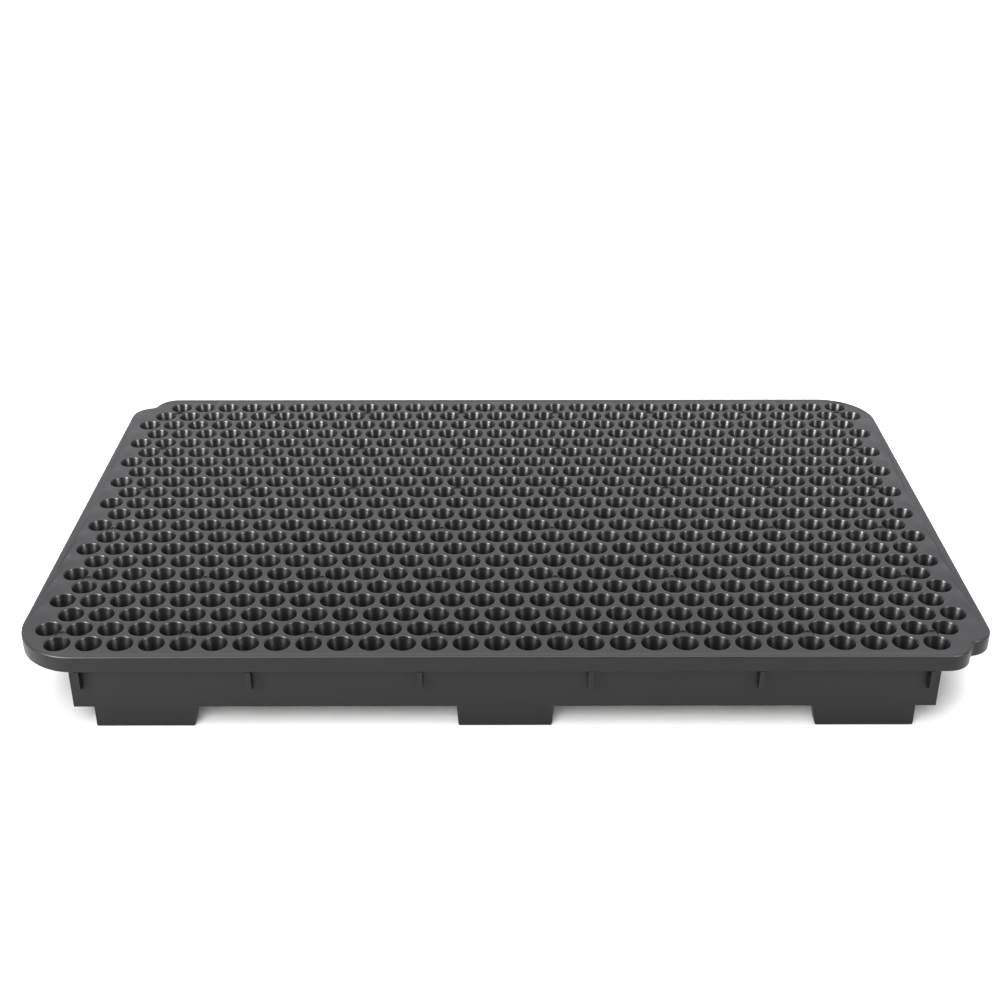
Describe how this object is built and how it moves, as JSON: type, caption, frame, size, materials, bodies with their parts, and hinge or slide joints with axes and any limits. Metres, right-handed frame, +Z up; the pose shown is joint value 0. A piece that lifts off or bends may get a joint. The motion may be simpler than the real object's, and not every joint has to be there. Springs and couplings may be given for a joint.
{
  "type": "plug tray",
  "caption": "Black moulded seedling plug tray: a flat deck of tapered round cells in a staggered grid, a turned-down rim with two notched corners, and a skirt frame on low feet.",
  "frame": {"origin": "on the ground under the tray's centre, at the bottom of its feet", "axes": "+X along the tray's long side to the right, +Y across it to the back, +Z up; the notched corners are front right and back left"},
  "size_m": [0.6, 0.38, 0.054],
  "materials": {
    "black_plastic": "satin"
  },
  "bodies": {
    "root": {"cell_row_01": "black_plastic", "cell_row_02": "black_plastic", "cell_row_03": "black_plastic", "cell_row_04": "black_plastic", "cell_row_05": "black_plastic", "cell_row_06": "black_plastic", "cell_row_07": "black_plastic", "cell_row_08": "black_plastic", "cell_row_09": "black_plastic", "cell_row_10": "black_plastic", "cell_row_11": "black_plastic", "cell_row_12": "black_plastic", "cell_row_13": "black_plastic", "cell_row_14": "black_plastic", "cell_row_15": "black_plastic", "cell_row_16": "black_plastic", "cell_row_17": "black_plastic", "cell_row_18": "black_plastic", "cell_row_19": "black_plastic", "cell_row_20": "black_plastic", "cell_row_21": "black_plastic", "cell_row_22": "black_plastic", "cross_rib_1": "black_plastic", "cross_rib_2": "black_plastic", "cross_rib_3": "black_plastic", "cross_rib_4": "black_plastic", "foot_back_centre": "black_plastic", "foot_back_left": "black_plastic", "foot_back_right": "black_plastic", "foot_front_centre": "black_plastic", "foot_front_left": "black_plastic", "foot_front_right": "black_plastic", "gussets_back": "black_plastic", "gussets_front": "black_plastic", "rim_back": "black_plastic", "rim_corner_back_right": "black_plastic", "rim_corner_front_left": "black_plastic", "rim_front": "black_plastic", "rim_left": "black_plastic", "rim_notch_back_left": "black_plastic", "rim_notch_front_right": "black_plastic", "rim_right": "black_plastic", "skirt_back": "black_plastic", "skirt_front": "black_plastic", "skirt_left": "black_plastic", "skirt_right": "black_plastic"}
  },
  "joints": []
}
